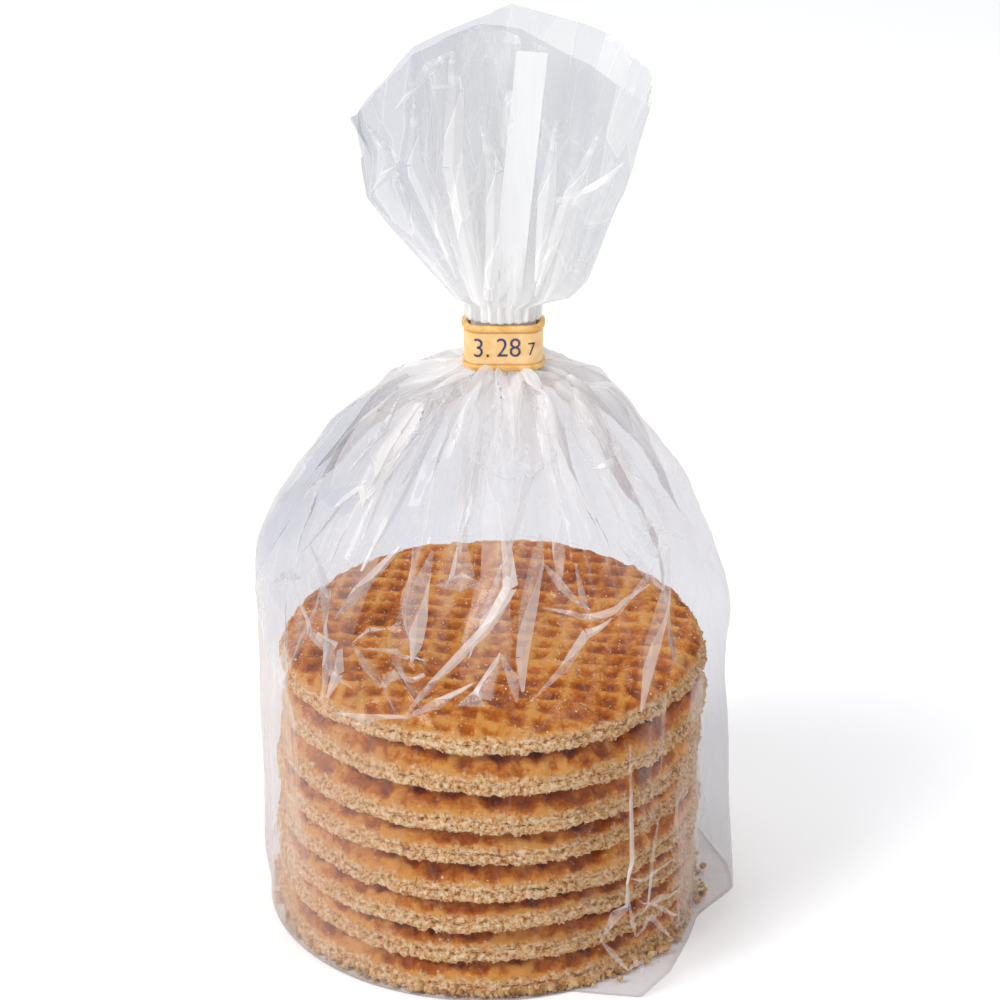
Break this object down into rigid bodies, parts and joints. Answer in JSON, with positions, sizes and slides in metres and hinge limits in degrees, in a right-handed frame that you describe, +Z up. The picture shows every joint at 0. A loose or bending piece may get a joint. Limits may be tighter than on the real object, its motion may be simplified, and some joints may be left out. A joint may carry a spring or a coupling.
{
  "type": "clear film bag of stacked syrup waffles",
  "caption": "Clear film bag holding a stack of round syrup waffles, its neck gathered in a flat clip band and its open end fanned out above.",
  "frame": {"origin": "middle of the flat base, straight below the stack of waffles", "axes": "+Z up through the neck of the bag; -Y faces the front, the side on which the band's numbers show; +X to the right as seen from the front"},
  "size_m": [0.1032, 0.0926, 0.2025],
  "materials": {
    "film": "thin clear glossy polypropylene film, creased, with a whitish haze where it lies in several layers",
    "clip_band": "golden yellow paper-faced plastic strip with a wire bead in each edge, satin",
    "waffle": "baked waffle crust, browned on the ridges, buttery sheen in the dimples",
    "crumb": "cut edge and loose crumbs of the waffles, pale and rough",
    "syrup": "caramel syrup between the two halves of a waffle, brown and glossy",
    "print": "dark blue stamped ink"
  },
  "bodies": {
    "root": {"bag": "film", "clip_band": "clip_band"}
  },
  "joints": []
}
